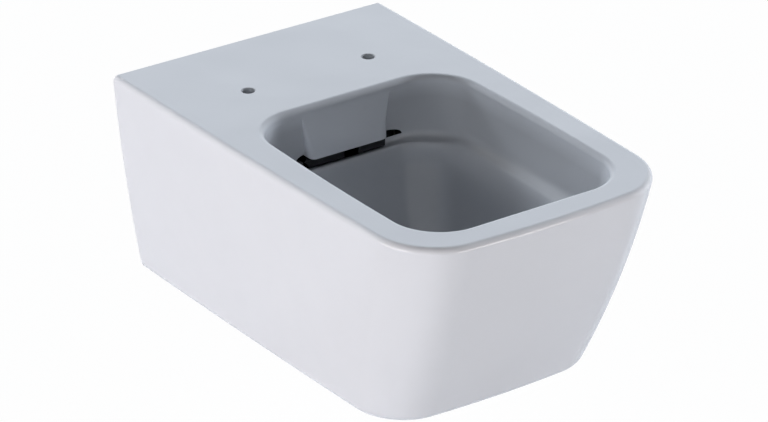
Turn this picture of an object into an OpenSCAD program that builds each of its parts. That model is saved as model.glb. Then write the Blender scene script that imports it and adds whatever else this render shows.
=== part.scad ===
// Wall hung toilet pan, rimless, with its concealed wall fixing. Millimetres.
// The wall is the plane y = 0, the pan points along -Y, and the fixing studs are at z = 0.

/* [Body] */
// Width of the pan at the wall
body_w = 350; // [330:5:400]
// Projection from the wall
body_l = 550; // [535:5:600]
// Height of the pan
body_h = 240; // [236:2:260]
// How far each side has come in at the underside
side_drop = 30; // [20:1:40]
// Lean of the sides where they leave the deck, in degrees
side_lean = 4.5; // [2:0.1:6]
// How far the front has come back at the underside
front_drop = 88; // [60:1:110]
// Lean of the front where it leaves the deck, in degrees
front_lean = 14.5; // [8:0.5:16]
// Radius of the front corners at the deck
corner_r = 67; // [55:1:80]
// Radius of the front corners at the underside
foot_corner_r = 56; // [45:1:70]
// Radius of the slow curve of the sides
side_bow_r = 13000; // [8000:500:20000]
// Radius of the slow curve of the front
front_bow_r = 1400; // [1000:50:3000]
// Rounding of the outer edge of the deck
deck_edge_r = 6.5; // [4:0.5:9]
// Rounding of the edge at the underside
foot_edge_r = 10; // [6:0.5:14]
// Thickness of the skirt
wall_t = 10; // [8:0.5:12]
// Thickness of the deck
deck_t = 12; // [10:0.5:13]

/* [Opening] */
// Width of the opening
opening_w = 259; // [250:1:268]
// Distance of the opening from the wall
opening_rear = 184; // [182:1:188]
// Width of the rim in front of the opening
rim_front = 40; // [34:1:46]
// Radius of the corners of the opening
opening_r = 52; // [44:1:58]
// Rounding of the edge of the opening
opening_edge_r = 7; // [5:0.5:9]
// How far the sides of the opening bow out
opening_bow = 4; // [0:0.5:5]

/* [Bowl] */
// Depth of the upright wall under the deck
rim_wall_h = 62; // [60:1:64]
// Lean of the upright wall, in degrees
rim_lean = 8; // [5:0.5:9]
// How far the rear wall stands back under the deck
rear_setback = 10; // [8:0.5:11]
// Width of the ledge
ledge_w = 12; // [8:0.5:14]
// Fall of the ledge
ledge_drop = 6; // [4:0.5:8]
// Thickness of the bowl
bowl_t = 9; // [7:0.5:9]
// Half width of the sump
sump_w = 58; // [56:1:62]
// Length of the sump
sump_l = 84; // [70:1:95]

/* [Flush] */
// Height of the flush inlet above the fixing studs
inlet_z = 35; // [33:0.5:35]
// Bore of the flush inlet
inlet_d = 55; // [53:0.5:55]
// Length of the flush inlet
inlet_l = 45; // [40:1:50]
// Outside diameter of the flush pipe
flush_pipe_d = 45; // [43:0.5:46]
// Width of the distributor seen in the bowl
nose_w = 120; // [110:2:124]
// How far the distributor hangs below the deck
nose_drop = 65; // [64:0.5:67]
// Height of the slot under the distributor
slot_h = 5; // [3:0.5:6]
// Rounding of the distributor's upright edges
nose_round = 12; // [6:1:14]
// Half width of the arched ports beside the distributor
port_half = 14; // [10:0.5:16]
// Height of the arch of the ports
port_rise = 6; // [4:0.5:7]
// Thickness of the flush passage
duct_t = 6; // [5:0.5:7]

/* [Trap and outlet] */
// Height of the waste outlet above the underside
outlet_foot = 9; // [8:0.5:10]
// Outside diameter of the waste outlet
outlet_d = 102; // [100:0.5:104]
// Bore of the waste outlet
outlet_bore = 90; // [88:0.5:92]
// Length of the waste outlet
outlet_l = 50; // [45:1:55]
// Width of the trap passage
trap_w = 72; // [66:1:76]
// Depth of the water seal, as a share of the height that the trap has
seal_share = 0.3731; // [0.3:0.0001:0.4]
// Thickness of the trap
trap_t = 7; // [6:0.5:7]

/* [Fixing] */
// Distance between the wall studs
stud_spacing = 180; // [176:1:184]
// Diameter of the wall studs
stud_d = 12; // [10:1:12]
// Height of the deck above the wall studs
deck_z = 80; // [80:1:84]
// Distance between the seat hinge holes
hinge_spacing = 155; // [152:1:157]
// Distance of the seat hinge holes from the wall
hinge_y = 114; // [112:1:115]
// Diameter of the seat hinge holes
hinge_d = 14; // [12:0.5:16]
// Thickness of the bracket steel
steel_t = 4; // [3:0.5:4.5]
// Diameter of the clamp screws
screw_d = 8; // [6:0.5:8]
// Travel of the clamp wedges
wedge_travel = 6; // [4:0.5:6]

/* [Hidden] */

glaze = [0.95, 0.95, 0.96];
zinc = [0.68, 0.7, 0.72];
rubber = [0.12, 0.12, 0.13];
nylon = [0.3, 0.32, 0.36];
fine = 64;
seat_gap = 0.3;
turn_gap = 0.06;
eps = 0.01;

// Clear of a face that a cut has to pass
past = 1;

deck_under = deck_z - deck_t;
floor_z = deck_z - body_h;
floor_top = floor_z + wall_t;
outlet_z = body_h - deck_z - outlet_foot - outlet_d / 2;

// The sump floor lies on the floor of the shell; the trap takes the height from there to the studs
sump_floor = 8;
sump_depth = body_h - wall_t - sump_floor;
mouth_step = 1;
trap_room = sump_depth - deck_z - mouth_step - trap_t;
seal_h = seal_share * trap_room;
trap_h = (trap_room - seal_h) / 2;

// Plan outline of the skirt

side_n = 5;
corner_n = 9;
front_n = 4;

// Slow curves laid over a plain rounded outline of half width w and length l
function bow_out(p, w, l) = [
    p.x * (1 - p.y * p.y / (2 * side_bow_r * w)),
    p.y * (1 - p.x * p.x / (2 * front_bow_r * l))
];

// Right half, from the wall round to the middle of the front
function half_plain(w, l, r) = concat(
    [for (i = [0 : side_n - 1]) [w, -(l - r) * i / side_n]],
    [for (i = [0 : corner_n]) [w - r + r * cos(90 * i / corner_n), -(l - r) - r * sin(90 * i / corner_n)]],
    [for (i = [1 : front_n]) [(w - r) * (1 - i / front_n), -l]]
);

// Open outline from the wall on the left, round the front, to the wall on the right
function skirt_outline(w, l, r) =
    let (h = [for (p = half_plain(w, l, r)) bow_out(p, w, l)], n = len(h))
    concat([for (i = [0 : n - 1]) [-h[i].x, h[i].y]], [for (i = [n - 2 : -1 : 0]) h[i]]);

// How far the sides and the front have come in at a depth, from the rounded edge of the deck down
lean_h = body_h - deck_edge_r;
function lean_in(d, drop, lean) =
    let (u = max(0, d - deck_edge_r))
    u * tan(lean) + (drop - lean_h * tan(lean)) * pow(u / lean_h, 2);

// What the rounded edges take off at a depth
function edge_in(d) =
    d < deck_edge_r ? deck_edge_r - sqrt(max(0, pow(deck_edge_r, 2) - pow(deck_edge_r - d, 2)))
    : d > body_h - foot_edge_r
        ? foot_edge_r - sqrt(max(0, pow(foot_edge_r, 2) - pow(d - body_h + foot_edge_r, 2)))
        : 0;

// One level of the skirt, moved in by t
function level(d, t = 0) =
    let (e = edge_in(d) + t, k = d / body_h)
    [for (p = skirt_outline(
            body_w / 2 - lean_in(d, side_drop, side_lean) - e,
            body_l - lean_in(d, front_drop, front_lean) - e,
            corner_r + (foot_corner_r - corner_r) * k - e))
        [p.x, p.y, deck_z - d]];

// Steps down a rounded edge, as shares of its radius
edge_steps = [0, 0.08, 0.3, 0.62, 1];

// Joins rings of equal length into a skin: rings run counter-clockwise from above and are listed downwards
function ring_faces(m, n, wrap_rings, wrap_points) = [
    for (i = [0 : (wrap_rings ? m - 1 : m - 2)])
        for (j = [0 : (wrap_points ? n - 1 : n - 2)])
            let (a = i * n + j, b = i * n + (j + 1) % n, c = ((i + 1) % m) * n + (j + 1) % n, e = ((i + 1) % m) * n + j)
            each [[a, b, c], [a, c, e]]
];

// Solid through a stack of rings, capped at both ends
module loft(rings) {
    m = len(rings);
    n = len(rings[0]);
    polyhedron(
        points = [for (r = rings) each r],
        faces = concat(
            ring_faces(m, n, false, true),
            [[for (j = [n - 1 : -1 : 0]) j]],
            [[for (j = [0 : n - 1]) (m - 1) * n + j]]
        )
    );
}

// Solid through rings that come back to the first one, such as a tube wall
module loft_loop(rings) {
    m = len(rings);
    n = len(rings[0]);
    polyhedron(points = [for (r = rings) each r], faces = ring_faces(m, n, true, true));
}

// Outer shell

shell_depths = concat(
    [deck_t],
    [for (i = [1 : 8]) deck_t + (body_h - foot_edge_r - deck_t) * i / 8],
    [for (s = [0.3, 0.62, 0.86, 1]) body_h - foot_edge_r + foot_edge_r * s]
);
shell_inner_depths = [for (i = [0 : len(shell_depths) - 1])
    deck_t + (body_h - wall_t - deck_t) * i / (len(shell_depths) - 1)];

module skirt() {
    outer = [for (d = shell_depths) level(d)];
    inner = [for (d = shell_inner_depths) level(d, wall_t)];
    m = len(outer);
    n = len(outer[0]);
    q = m * n;
    last = (m - 1) * n;
    polyhedron(
        points = concat([for (r = outer) each r], [for (r = inner) each r]),
        faces = concat(
            // outside and inside
            ring_faces(m, n, false, false),
            [for (f = ring_faces(m, n, false, false)) [f[2] + q, f[1] + q, f[0] + q]],
            // edge under the deck
            [for (j = [0 : n - 2]) each [[j, q + j, q + j + 1], [j, q + j + 1, j + 1]]],
            // underside and the floor inside
            [[for (j = [0 : n - 1]) last + j]],
            [[for (j = [n - 1 : -1 : 0]) q + last + j]],
            // flat faces at the wall
            [for (i = [0 : m - 2]) each [
                [i * n, (i + 1) * n, q + (i + 1) * n],
                [i * n, q + (i + 1) * n, q + i * n],
                [(i + 2) * n - 1, (i + 1) * n - 1, q + (i + 1) * n - 1],
                [(i + 2) * n - 1, q + (i + 1) * n - 1, q + (i + 2) * n - 1]]],
            [[last, last + n - 1, q + last + n - 1], [last, q + last + n - 1, q + last]]
        )
    );
}

// The underside is open at the wall, for the drain socket and its clamp
drain_side = 14;
drain_front = 25;
drain_recess_w = outlet_d + 2 * drain_side;
drain_recess_l = outlet_l + drain_front;

module outer_shell() {
    color(glaze)
    difference() {
        skirt();
        translate([-drain_recess_w / 2, -drain_recess_l, floor_z - past])
            cube([drain_recess_w, drain_recess_l + past, wall_t + 2 * past]);
    }
}

// Opening and bowl

open_half = opening_w / 2;
open_front = body_l - rim_front;

corner_pts = 8;
side_pts = 4;

// Closed outline of the opening or of a level of the bowl, bowed out along its sides
function basin_outline(w, yr, yf, r, bow) =
    let (
        ym = -(yr + yf) / 2,
        hl = (yf - yr) / 2,
        quarter = [for (i = [0 : corner_pts]) [w - r + r * sin(90 * i / corner_pts), hl - r + r * cos(90 * i / corner_pts)]],
        side = [for (i = [1 : side_pts - 1]) [w, (hl - r) * (1 - 2 * i / side_pts)]],
        right = concat(quarter, side, [for (i = [corner_pts : -1 : 0]) [quarter[i].x, -quarter[i].y]]),
        n = len(right)
    )
    [for (p = concat([[0, hl]], right, [[0, -hl]], [for (i = [n - 1 : -1 : 0]) [-right[i].x, right[i].y]]))
        [-p.x * (1 - bow / w * pow(p.y / hl, 2)), ym + p.y]];

function basin_ring(w, yr, yf, r, z, bow = opening_bow) =
    [for (p = basin_outline(w, yr, yf, r, bow)) [p.x, p.y, z]];

// Rounded edge of the opening, as a cutter that widens to the top
function mouth_ring(d, z) =
    let (out = d < opening_edge_r ? opening_edge_r - sqrt(pow(opening_edge_r, 2) - pow(opening_edge_r - d, 2)) : 0,
        back = max(0, d - opening_edge_r) * tan(rim_lean))
    basin_ring(open_half + out - back, opening_rear - out, open_front + out - back, opening_r + out - back / 2, z);

module mouth() {
    loft([
        mouth_ring(0, deck_z + past),
        for (s = edge_steps) mouth_ring(opening_edge_r * s, deck_z - opening_edge_r * s),
        mouth_ring(deck_t, deck_under),
        mouth_ring(deck_t, deck_under - past)
    ]);
}

module hinge_holes(d, z0, z1) {
    for (s = [-1, 1])
        translate([s * hinge_spacing / 2, -hinge_y, z0])
            cylinder(d = d, h = z1 - z0, $fn = fine);
}

// The deck is cast in two: the seat end with the hinge holes, and the rim round the opening
deck_split = (hinge_y + opening_rear) / 2;

module deck() {
    loft([for (s = edge_steps) level(deck_edge_r * s), level(deck_t)]);
}

// Room of the deck between two distances from the wall
module deck_room(y0, y1) {
    translate([-body_w / 2 - past, -y1, deck_under - past])
        cube([body_w + 2 * past, y1 - y0, deck_t + 2 * past]);
}

module seat_deck() {
    color(glaze)
    difference() {
        deck();
        deck_room(deck_split, body_l + past);
        hinge_holes(hinge_d, deck_under - past, deck_z + past);
    }
}

module rim() {
    color(glaze)
    difference() {
        deck();
        deck_room(-past, deck_split);
        mouth();
    }
}

// Levels of the inside of the bowl: depth below the deck, half width, rear, front, corner radius
rim_end = (rim_wall_h - opening_edge_r) * tan(rim_lean);
bowl_rear = opening_rear - rear_setback;
sump_rear = 243;
ledge_half = open_half - rim_end - ledge_w;
nose_out = 2;
lip_out = 1;
ledge_rear = opening_rear + nose_out + lip_out;
ledge_front = open_front - rim_end - ledge_w;
ledge_end = rim_wall_h + ledge_drop;

rim_levels = [
    for (d = [deck_t, (deck_t + rim_wall_h - 5) / 2, rim_wall_h - 5])
        let (back = (d - opening_edge_r) * tan(rim_lean))
        [d, open_half - back, bowl_rear, open_front - back, opening_r - back / 2],
    [rim_wall_h - 1, open_half - rim_end - 1.5, bowl_rear + 1.5, open_front - rim_end - 1.5, opening_r - 4],
    [rim_wall_h + 1, open_half - rim_end - 4, bowl_rear + 4, open_front - rim_end - 4, opening_r - 4],
    [ledge_end - 1.5, ledge_half + 2.5, ledge_rear - 2.5, ledge_front + 2.5, opening_r - 4],
    [ledge_end + 3, ledge_half, ledge_rear, ledge_front, opening_r - 4]
];

// Below the ledge the bowl runs in to the sump: share of the way down, share of the way in, corner radius
fall = [[0.14, 0.09, 42], [0.32, 0.26, 40], [0.5, 0.47, 36], [0.66, 0.68, 30], [0.8, 0.87, 24],
    [0.92, 0.97, 18], [0.98, 1, 15]];
function mix(a, b, k) = a + (b - a) * k;
function fall_depth(k) = mix(ledge_end + 3, sump_depth, k);

// The rear runs in sooner and stays upright behind the sump
function rear_share(k) = min(1, k * 1.5);
fall_levels = [for (f = fall) [
    fall_depth(f[0]),
    mix(ledge_half, sump_w, f[1]),
    mix(ledge_rear, sump_rear, rear_share(f[1])),
    mix(ledge_front, sump_rear + sump_l, f[1]),
    f[2]
]];
floor_in = 6;
floor_r = 12;
base_in = 2;
base_r = 14;
floor_dish = 0.5;
bowl_floor = [[sump_depth, sump_w - floor_in, sump_rear + floor_in / 2, sump_rear + sump_l - floor_in, floor_r]];
bowl_levels = concat(rim_levels, fall_levels, bowl_floor);

function level_ring(v, t = 0) =
    basin_ring(v[1] + t, v[2] - t, v[3] + t, v[4] + t, deck_z - v[0], opening_bow * v[1] / open_half);

// The outside follows more plainly, thick under the ledge
outer_levels = concat(
    [[deck_t, open_half, bowl_rear, open_front, opening_r]],
    [[ledge_end + 11, open_half - rim_end - 3, bowl_rear, open_front - rim_end - 3, opening_r]],
    [[ledge_end + 22, ledge_half + 1, bowl_rear + 22, ledge_front - 1, opening_r - 3]],
    [for (i = [1 : len(fall_levels) - 1]) fall_levels[i]]
);

module bowl_skin() {
    inner = [for (v = bowl_levels) level_ring(v)];
    outer = concat([for (v = outer_levels) level_ring(v, bowl_t)],
        [level_ring([deck_z - floor_top, sump_w - base_in, sump_rear, sump_rear + sump_l - base_in, base_r], bowl_t)]);
    m = len(inner) + len(outer);
    n = len(inner[0]);
    rings = concat([for (i = [len(inner) - 1 : -1 : 0]) inner[i]], outer);
    // the sump floor and the base below it are fans round their middle points
    last = (m - 1) * n;
    mid = m * n;
    middle_y = -sump_rear - sump_l / 2;
    polyhedron(
        points = concat([for (r = rings) each r],
            [[0, middle_y, deck_z - sump_depth - floor_dish], [0, middle_y, floor_top]]),
        faces = concat(
            ring_faces(m, n, false, true),
            [for (j = [0 : n - 1]) [mid, (j + 1) % n, j]],
            [for (j = [0 : n - 1]) [mid + 1, last + j, last + (j + 1) % n]]
        )
    );
}

// Opening of the bowl into the trap, a little above the bottom of the sump
dip_z = deck_z - sump_depth + mouth_step + trap_h;
mouth_z = dip_z - trap_h / 2;

function oval(hw, hh, n) = [for (i = [0 : n - 1]) [hw * cos(360 * i / n), hh * sin(360 * i / n)]];
trap_n = 24;
port_n = 32;

nose_half = nose_w / 2;
nose_bottom = deck_z - nose_drop;
slot_bottom = nose_bottom - slot_h;
port_x = nose_half + 1;
port_z = nose_bottom;
port_reach = 3;

module bowl() {
    color(glaze)
    difference() {
        bowl_skin();
        // trap mouth
        translate([0, -sump_rear + bowl_t + past, mouth_z])
            rotate([90, 0, 0])
                linear_extrude(bowl_t + 2 * past + floor_in / 2)
                    polygon(oval(trap_w / 2, trap_h / 2, trap_n));
        // seat of the distributor and the slot under it
        translate([-nose_half - seat_gap, -ledge_rear - 3, slot_bottom])
            cube([nose_w + 2 * seat_gap, ledge_rear + 3 - bowl_rear + bowl_t + past, deck_z - slot_bottom]);
        // arched ports
        for (s = [-1, 1])
            translate([s * port_x, -bowl_rear + bowl_t + past, port_z])
                rotate([90, 0, 0])
                    linear_extrude(bowl_t + past + port_reach)
                        polygon(oval(port_half, port_rise, port_n));
    }
}

// Flush passage

chamber_half = port_x + port_half + duct_t;
chamber_back = 130;
chamber_front = bowl_rear - bowl_t;
chamber_bottom = slot_bottom - duct_t;

// Plan of the part that shows, with rounded front edges
module nose_plan(inset) {
    r = nose_round - inset;
    x = nose_half - inset;
    y = opening_rear + nose_out - inset;
    polygon([
        [-x, -chamber_front + past * (inset > 0 ? 1 : 0)],
        for (i = [0 : 6]) [-x + r - r * cos(15 * i), -y + r - r * sin(15 * i)],
        for (i = [0 : 6]) [x - r + r * sin(15 * i), -y + r - r * cos(15 * i)],
        [x, -chamber_front + past * (inset > 0 ? 1 : 0)]
    ]);
}

module flush_distributor() {
    color(glaze)
    difference() {
        union() {
            translate([0, 0, nose_bottom])
                linear_extrude(deck_under - nose_bottom)
                    nose_plan(0);
            translate([-chamber_half, -chamber_front, chamber_bottom])
                cube([2 * chamber_half, chamber_front - chamber_back, deck_under - chamber_bottom]);
        }
        // water space, open to the bowl below the front plate
        translate([0, 0, nose_bottom - past])
            linear_extrude(deck_under - duct_t - nose_bottom + past)
                nose_plan(duct_t);
        translate([-chamber_half + duct_t, -chamber_front - past, slot_bottom])
            cube([2 * (chamber_half - duct_t), chamber_front - chamber_back - duct_t + past,
                deck_under - duct_t - slot_bottom]);
        // inlet from the duct
        translate([-inlet_d / 2, -chamber_back - duct_t - past, slot_bottom])
            cube([inlet_d, duct_t + 2 * past, deck_under - duct_t - slot_bottom]);
    }
}

duct_wide = nose_half - 2;
module duct_plan(inset) {
    a = inlet_d / 2 + duct_t - inset;
    b = duct_wide - inset;
    polygon([[-a, -inlet_l], [a, -inlet_l], [b, -chamber_back], [-b, -chamber_back]]);
}

inlet_wall = 5;
module flush_duct() {
    color(glaze)
    difference() {
        translate([0, 0, chamber_bottom])
            linear_extrude(deck_under - chamber_bottom)
                duct_plan(0);
        difference() {
            translate([0, 0, slot_bottom])
                linear_extrude(deck_under - duct_t - slot_bottom)
                    duct_plan(duct_t);
            translate([-body_w / 2, -inlet_l - duct_t, chamber_bottom])
                cube([body_w, duct_t + past, deck_z]);
        }
        translate([0, -inlet_l - duct_t - past, inlet_z])
            rotate([-90, 0, 0])
                cylinder(d = inlet_d, h = duct_t + 2 * past, $fn = fine);
        // open to the distributor
        translate([-inlet_d / 2, -chamber_back - past, slot_bottom])
            cube([inlet_d, duct_t + past, deck_under - duct_t - slot_bottom]);
    }
}

module tube_y(d_out, d_in, y0, y1, z) {
    translate([0, y0, z])
        rotate([-90, 0, 0])
            difference() {
                cylinder(d = d_out, h = y1 - y0, $fn = fine);
                translate([0, 0, -past])
                    cylinder(d = d_in, h = y1 - y0 + 2 * past, $fn = fine);
            }
}

module inlet_spigot() {
    color(glaze)
    tube_y(inlet_d + 2 * inlet_wall, inlet_d, -inlet_l, 0, inlet_z);
}

// Rubber sleeve with a chamfered mouth and two ribs that grip the bore
seal_l = 26;
seal_in = 2;
seal_lip = 2;
rib_out = 1;
rib_l = 3;
rib_1 = 4;
rib_2 = 12;
module inlet_seal() {
    r0 = flush_pipe_d / 2;
    r1 = inlet_d / 2;
    color(rubber)
    translate([0, -seal_in, inlet_z])
        rotate([90, 0, 0])
            rotate_extrude($fn = fine)
                polygon([[r0 + seal_lip, 0], [r1, 0], [r1, rib_1], [r1 - rib_out, rib_1 + rib_out],
                    [r1 - rib_out, rib_2 - rib_out], [r1, rib_2], [r1, rib_2 + rib_l],
                    [r1 - rib_out, rib_2 + rib_l + rib_out], [r1 - rib_out, seal_l - rib_out],
                    [r1 - seal_lip, seal_l], [r0, seal_l], [r0, seal_lip]]);
}

// Trap and outlet

th = trap_h / 2;
tw = trap_w / 2;
crest_z = dip_z + seal_h + th;
ob = outlet_bore / 2;
trap_start = sump_rear - bowl_t;
trap_run = trap_start - outlet_l;
function climb(k) = mix(mouth_z, crest_z, k);
function drop(k) = mix(crest_z, -outlet_z, k);

// Stations: share of the run, height, pitch, half height, half width
trap_stations = [
    [0, climb(0), 0, th, tw],
    [0.065, climb(0.02), 12, th, tw],
    [0.152, climb(0.11), 40, th, mix(tw, ob, 0.11)],
    [0.223, climb(0.31), 62, th, mix(tw, ob, 0.22)],
    [0.288, climb(0.6), 66, th, mix(tw, ob, 0.44)],
    [0.359, climb(0.84), 50, th, mix(tw, ob, 0.67)],
    [0.435, climb(0.98), 18, th, mix(tw, ob, 0.78)],
    [0.511, climb(1), 0, th, mix(tw, ob, 0.89)],
    [0.592, drop(0.06), -25, mix(th, ob, 0.08), ob],
    [0.679, drop(0.25), -50, mix(th, ob, 0.25), ob],
    [0.75, drop(0.55), -52, mix(th, ob, 0.5), ob],
    [0.837, drop(0.83), -32, mix(th, ob, 0.8), ob],
    [0.935, drop(0.99), -8, ob, ob],
    [1, drop(1), 0, ob, ob]
];
riser_end = 4;
crown_end = 9;
fall_end = len(trap_stations) - 1;

function trap_ring(s, t) = [for (p = oval(s[4] + t, s[3] + t, trap_n))
    [p.x, -(trap_start - trap_run * s[0]) - sin(s[2]) * p.y, s[1] + cos(s[2]) * p.y]];

// Wall of the trap between two stations; it thins to the spigot at the outlet
module trap_piece(i0, i1) {
    color(glaze)
    loft_loop(concat(
        [for (i = [i0 : i1]) trap_ring(trap_stations[i], i < fall_end ? trap_t : (outlet_d - outlet_bore) / 2)],
        [for (i = [i1 : -1 : i0]) trap_ring(trap_stations[i], 0)]
    ));
}

module trap_riser() {
    trap_piece(0, riser_end);
}

module trap_crown() {
    trap_piece(riser_end, crown_end);
}

module trap_fall() {
    trap_piece(crown_end, fall_end);
}

module outlet_spigot() {
    color(glaze)
    tube_y(outlet_d, outlet_bore, -outlet_l, 0, -outlet_z);
}

// Fixing: modelled for the right side and mirrored

stud_x = stud_spacing / 2;
hinge_x = hinge_spacing / 2;
// Inner and outer side of the bracket arm
arm_in = 11.5;
arm_out = 16;
arm_x0 = hinge_x - arm_in;
arm_x1 = stud_x + arm_out;
arm_top = 20;
arm_floor = -16;
arm_past_hinge = 15;
arm_end = hinge_y + arm_past_hinge;
pad_h = 2;
cheek_t = 6;
rest_z = arm_top + pad_h;
plate_t = 6;
plate_side = 24;
hanger_back = 24;
hanger_front = 3;
cheek_drop = 14;
boss_wall = 5;
bush_flange_t = 3;
bush_flange_w = 4.5;
wedge_slope = 0.212;
tooth_before_hinge = 18;
tooth_back = hinge_y - tooth_before_hinge;
tooth_tip = -6;
tooth_w = 12;
tooth_t = 4.6;
wedge_h = 14;
wedge_rest = 2.3;
wedge_z = arm_floor + steel_t + wedge_rest;

// Front face of the ceramic tooth at a height
function tooth_face(z) = tooth_back + tooth_t + wedge_slope * (z - tooth_tip);
function wedge_face(z) = tooth_face(z) + seat_gap + wedge_slope * wedge_travel;

module side(s) {
    if (s < 0) mirror([1, 0, 0]) children();
    else children();
}

module hanger(s) {
    x0 = arm_x0 - seat_gap;
    x1 = arm_x1 + seat_gap;
    y0 = plate_t + hanger_back;
    y1 = chamber_back - hanger_front;
    color(glaze)
    side(s)
    difference() {
        union() {
            for (x = [x0 - cheek_t, x1])
                translate([x, -y1, tooth_tip - cheek_drop])
                    cube([cheek_t, y1 - y0, deck_under - tooth_tip + cheek_drop]);
            translate([x0 - eps, -y1, rest_z])
                cube([x1 - x0 + 2 * eps, y1 - y0, cheek_t + 2]);
            translate([hinge_x, -hinge_y, rest_z + eps])
                cylinder(d = hinge_d + 2 * boss_wall, h = deck_under - rest_z - eps, $fn = fine);
            // tooth that the wedge draws to the wall
            translate([arm_x1 - steel_t - 3 - tooth_w, 0, 0])
                rotate([90, 0, 90])
                    linear_extrude(tooth_w)
                        polygon([[-tooth_back, rest_z + 1], [-tooth_back, tooth_tip],
                            [-tooth_face(tooth_tip), tooth_tip], [-tooth_face(rest_z + 1), rest_z + 1]]);
        }
        translate([hinge_x, -hinge_y, rest_z - past])
            cylinder(d = hinge_d, h = deck_under - rest_z + 2 * past, $fn = fine);
    }
}

module hanger_left() {
    hanger(-1);
}

module hanger_right() {
    hanger(1);
}

plate_half = 26;
module bracket(s) {
    color(zinc)
    side(s)
    difference() {
        union() {
            translate([arm_x0, -plate_t, -plate_half])
                cube([stud_x + plate_side - arm_x0, plate_t, 2 * plate_half]);
            // open channel, seen along its length
            translate([0, -plate_t + eps, 0])
                rotate([90, 0, 0])
                    linear_extrude(arm_end - plate_t + eps)
                        polygon([[arm_x0, arm_top], [arm_x0, arm_floor], [arm_x1, arm_floor], [arm_x1, arm_top],
                            [arm_x1 - steel_t, arm_top], [arm_x1 - steel_t, arm_floor + steel_t],
                            [arm_x0 + steel_t, arm_floor + steel_t], [arm_x0 + steel_t, arm_top]]);
            // end plate that backs the wedge
            translate([arm_x0 + eps, -arm_end, arm_floor + eps])
                cube([arm_x1 - arm_x0 - 2 * eps, steel_t, arm_top - arm_floor - eps]);
        }
        translate([stud_x, past, 0])
            rotate([90, 0, 0])
                cylinder(d = stud_d + 4, h = plate_t + 2 * past, $fn = fine);
        translate([hinge_x, -hinge_y, arm_floor - past])
            cylinder(r = screw_d / 2 + turn_gap, h = steel_t + 2 * past, $fn = fine);
    }
}

module bracket_left() {
    bracket(-1);
}

module bracket_right() {
    bracket(1);
}

// Strips on the two upper edges of the channel
module support_pads(s) {
    color(nylon)
    side(s)
    for (x = [arm_x0, arm_x1 - steel_t])
        translate([x, -arm_end, arm_top])
            cube([steel_t, arm_end - plate_t - hanger_back - pad_h, pad_h]);
}

module support_pads_left() {
    support_pads(-1);
}

module support_pads_right() {
    support_pads(1);
}

stud_bore = stud_d + 0.5;

// Round ring on a wall stud, from y0 to y1 in front of the wall
module stud_ring(d_out, d_in, y0, y1, sides = fine) {
    rotate([90, 0, 0])
        translate([0, 0, y0])
            difference() {
                cylinder(d = d_out, h = y1 - y0, $fn = sides);
                translate([0, 0, -past])
                    cylinder(d = d_in, h = y1 - y0 + 2 * past, $fn = fine);
            }
}

module at_studs() {
    for (s = [-1, 1])
        translate([s * stud_x, 0, 0])
            children();
}

module stud_bushes() {
    color(nylon)
    at_studs()
        rotate([90, 0, 0])
            difference() {
                union() {
                    cylinder(d = stud_d + 4 - 0.1, h = plate_t + eps, $fn = fine);
                    translate([0, 0, plate_t])
                        cylinder(d = stud_d + 2 * bush_flange_w, h = bush_flange_t, $fn = fine);
                }
                translate([0, 0, -past])
                    cylinder(d = stud_bore, h = plate_t + bush_flange_t + 2 * past, $fn = fine);
            }
}

washer_t = 2.5;
nut_t = 10;
washer_y = plate_t + bush_flange_t;
module stud_washers() {
    color(zinc)
    at_studs()
        stud_ring(2 * stud_d, stud_bore, washer_y, washer_y + washer_t);
}

// Across flats of the nut, as a share of its thread
nut_flats = 1.58 * stud_d;
module stud_nuts() {
    color(zinc)
    at_studs()
        stud_ring(nut_flats / cos(30), stud_d, washer_y + washer_t, washer_y + washer_t + nut_t, 6);
}

// Screw with a socket head, a collar above the bracket floor and a foot below it
head_h = 6;
collar_t = 1.6;
socket_flats = 0.75 * screw_d;
head_z = arm_top - head_h;
module clamp_screw(s) {
    r = screw_d / 2;
    top = arm_floor + steel_t + seat_gap;
    color(zinc)
    side(s)
    translate([hinge_x, -hinge_y, 0])
        difference() {
            rotate_extrude($fn = fine)
                polygon([[0, arm_floor - 3], [r + 2.5, arm_floor - 3], [r + 2.5, arm_floor - seat_gap],
                    [r, arm_floor - seat_gap], [r, top], [r + 2.5, top], [r + 2.5, top + collar_t],
                    [r, top + collar_t], [r, head_z], [r + 2.5, head_z], [r + 2.5, arm_top - 0.8],
                    [r + 1.7, arm_top], [0, arm_top]]);
            translate([0, 0, arm_top - 4])
                cylinder(d = socket_flats / cos(30), h = 4 + past, $fn = 6);
        }
}

module clamp_screw_left() {
    clamp_screw(-1);
}

module clamp_screw_right() {
    clamp_screw(1);
}

module clamp_wedge(s) {
    w0 = arm_x0 + steel_t + 1;
    w1 = arm_x1 - steel_t - 1;
    front = arm_end - steel_t - seat_gap;
    color(nylon)
    side(s)
    difference() {
        translate([w0, 0, 0])
            rotate([90, 0, 90])
                linear_extrude(w1 - w0)
                    polygon([[-front, wedge_z], [-wedge_face(wedge_z), wedge_z],
                        [-wedge_face(wedge_z + wedge_h), wedge_z + wedge_h], [-front, wedge_z + wedge_h]]);
        translate([hinge_x, -hinge_y, wedge_z - past])
            cylinder(r = screw_d / 2 + turn_gap, h = wedge_h + 2 * past, $fn = fine);
    }
}

module clamp_wedge_left() {
    clamp_wedge(-1);
}

module clamp_wedge_right() {
    clamp_wedge(1);
}

outer_shell();
seat_deck();
rim();
bowl();
flush_distributor();
flush_duct();
inlet_spigot();
inlet_seal();
trap_riser();
trap_crown();
trap_fall();
outlet_spigot();
hanger_left();
hanger_right();
bracket_left();
bracket_right();
support_pads_left();
support_pads_right();
stud_bushes();
stud_washers();
stud_nuts();
clamp_screw_left();
clamp_screw_right();
clamp_wedge_left();
clamp_wedge_right();
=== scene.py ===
"""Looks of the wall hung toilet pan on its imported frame. Tables are in millimetres; the wall is y = 0."""

import math

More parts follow.
